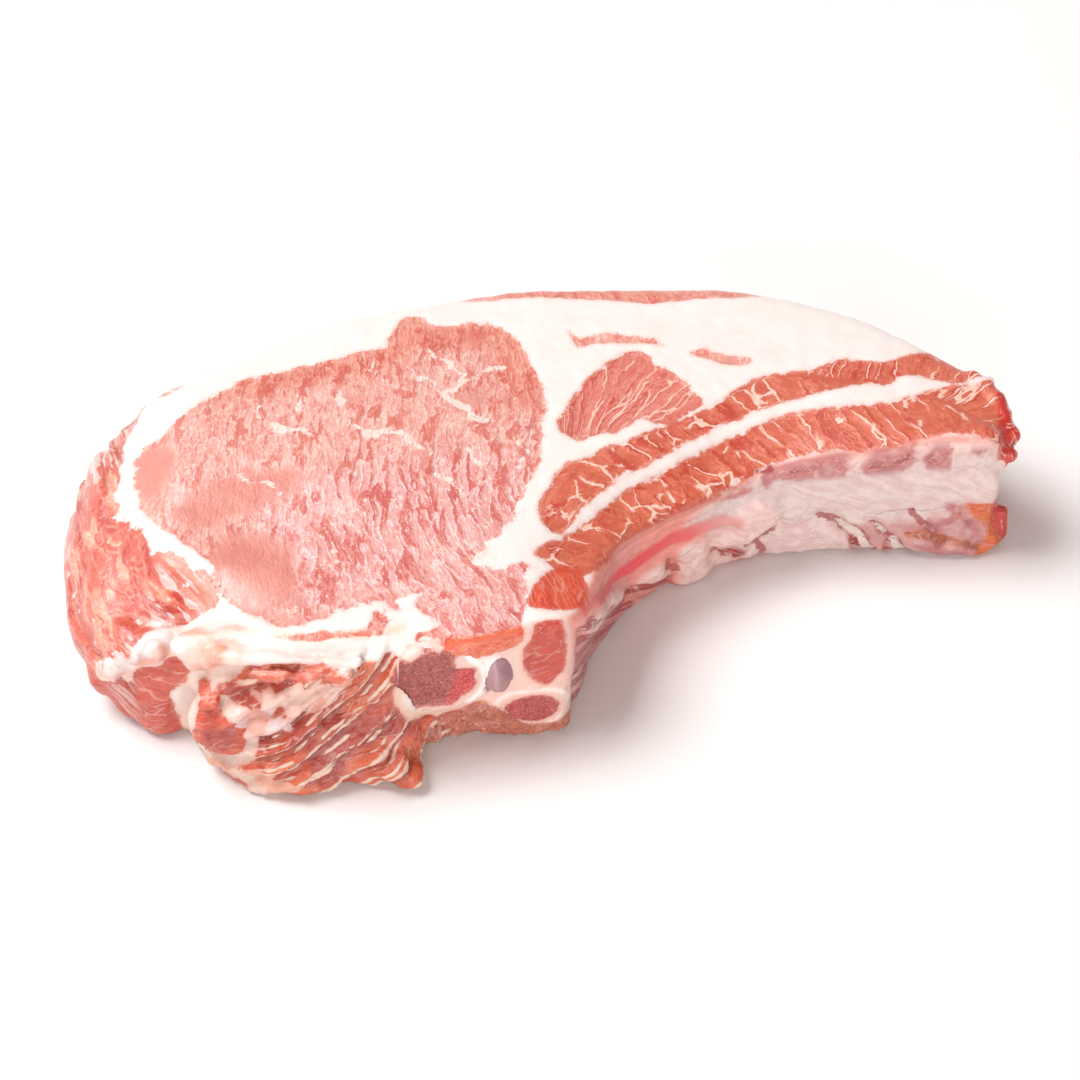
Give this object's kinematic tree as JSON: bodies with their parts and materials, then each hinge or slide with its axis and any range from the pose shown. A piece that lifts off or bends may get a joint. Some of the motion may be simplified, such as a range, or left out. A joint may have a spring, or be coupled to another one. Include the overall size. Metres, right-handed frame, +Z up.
{
  "type": "raw pork chop",
  "caption": "Thick raw bone-in rib chop lying on a cut face: loin eye in a fat rim, lean strips along a curved rib, sawn backbone stub at the side.",
  "frame": {"origin": "middle of the chop's bounding box, on the surface that the chop lies on", "axes": "+Z up, out of the upper cut face; +X along the chop to its rib end; +Y to the fat cap, so that the sawn backbone faces -Y"},
  "size_m": [0.202, 0.1188, 0.0341],
  "materials": {
    "flesh": "moist raw lean meat with white fat",
    "bone": "damp bone with a thin skin of tissue",
    "spongy_bone": "sawn, porous and damp",
    "cartilage": "smooth and wet"
  },
  "bodies": {
    "root": {"flesh": "flesh", "rib_bone": "bone", "backbone_stub": "spongy_bone", "joint_cartilage": "cartilage"}
  },
  "joints": []
}
